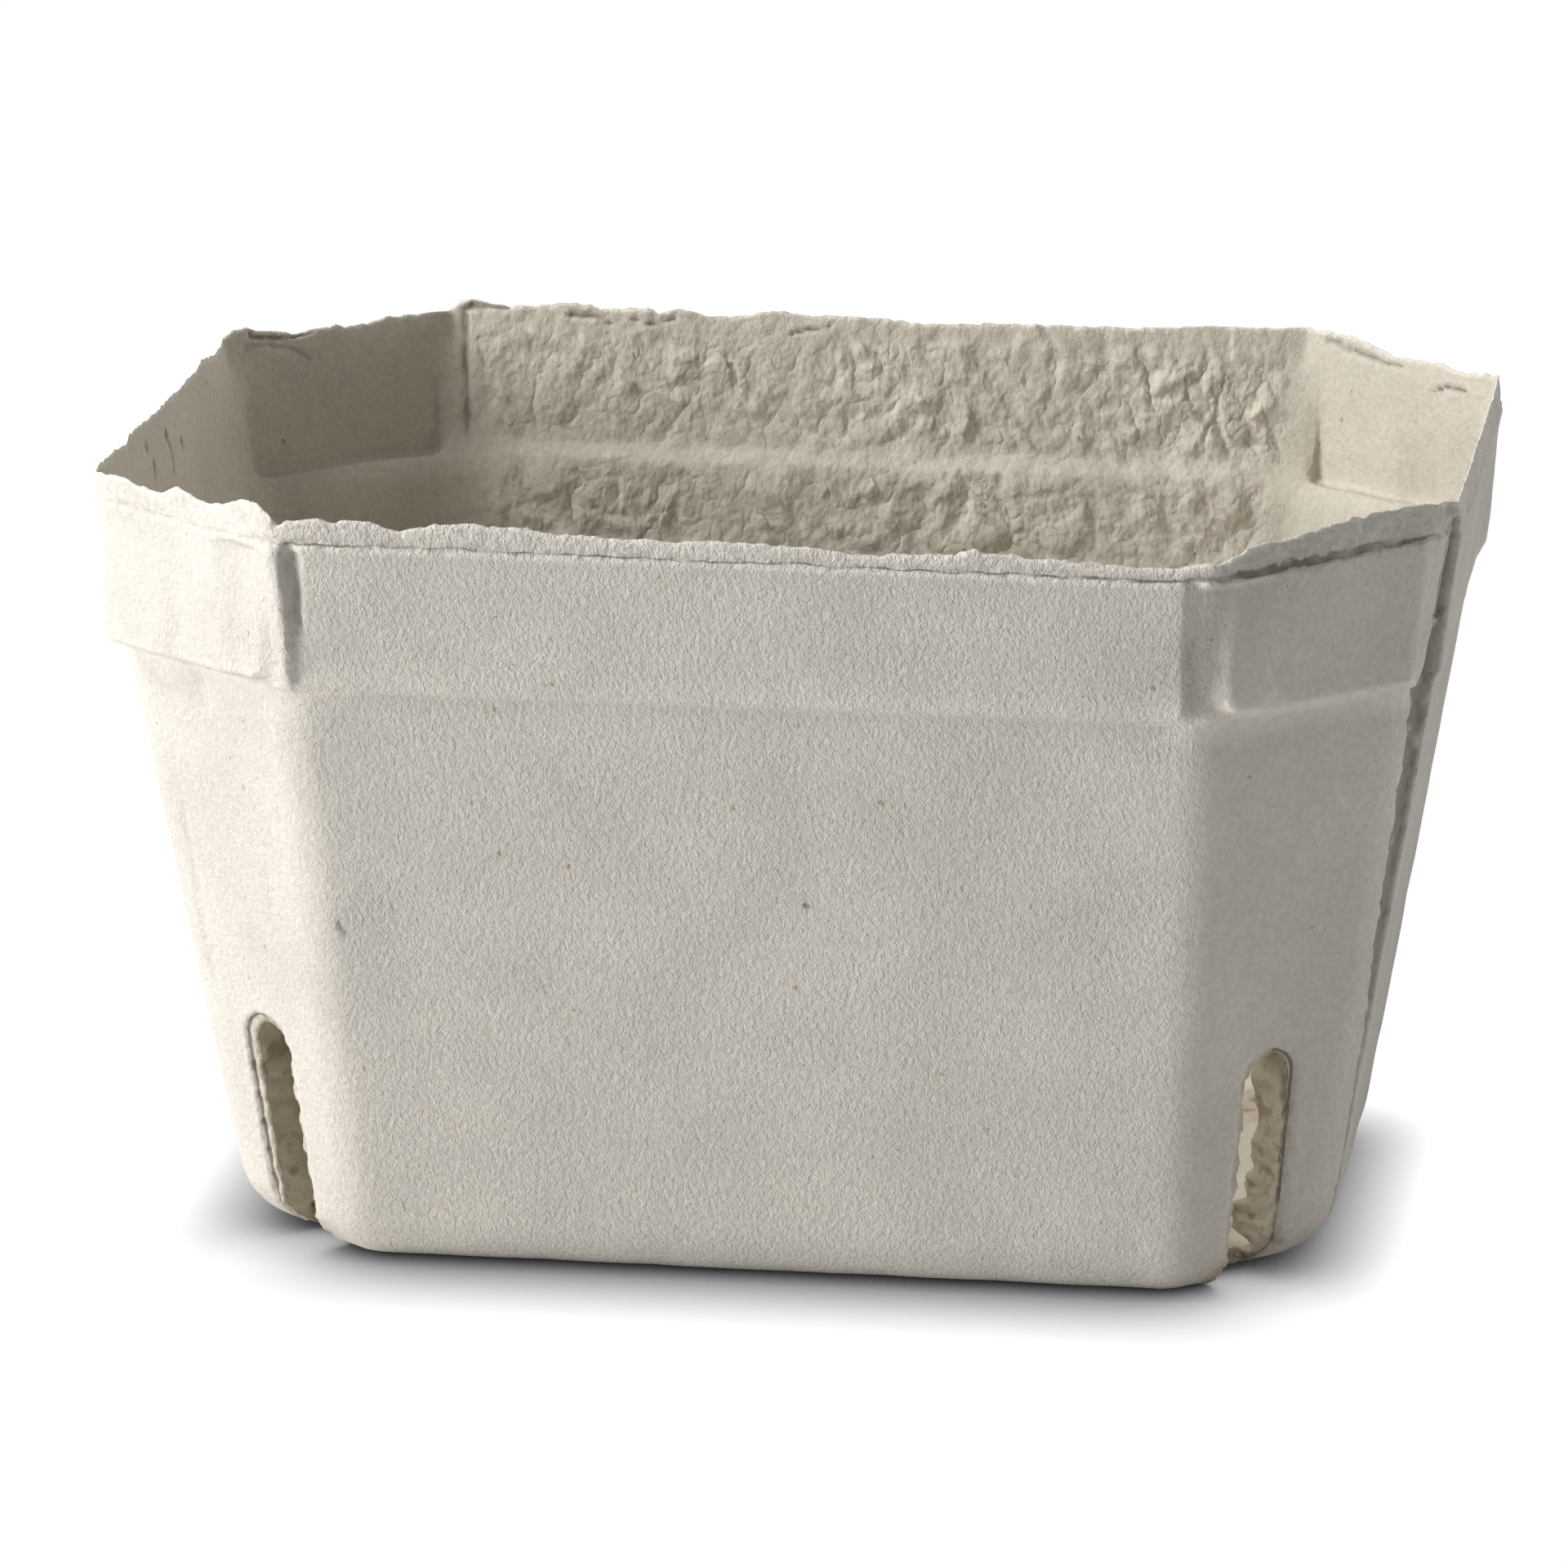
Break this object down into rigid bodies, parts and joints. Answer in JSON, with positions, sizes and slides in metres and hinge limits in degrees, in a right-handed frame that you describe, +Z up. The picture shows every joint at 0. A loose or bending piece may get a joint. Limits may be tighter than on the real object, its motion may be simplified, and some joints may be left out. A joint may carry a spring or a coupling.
{
  "type": "moulded pulp punnet",
  "caption": "Tapered moulded pulp tub with cut corners, a stepped rim band, vents at the corners and a torn top edge, open at the top.",
  "frame": {"origin": "middle of the flat underside, on the surface that the punnet stands on", "axes": "+X along the length, +Y along the width away from the pictured long side, +Z up"},
  "size_m": [0.1828, 0.1267, 0.1101],
  "materials": {
    "pulp": "matt pressed paper pulp, grey-beige, with fibres and specks"
  },
  "bodies": {
    "root": {"punnet": "pulp"}
  },
  "joints": []
}
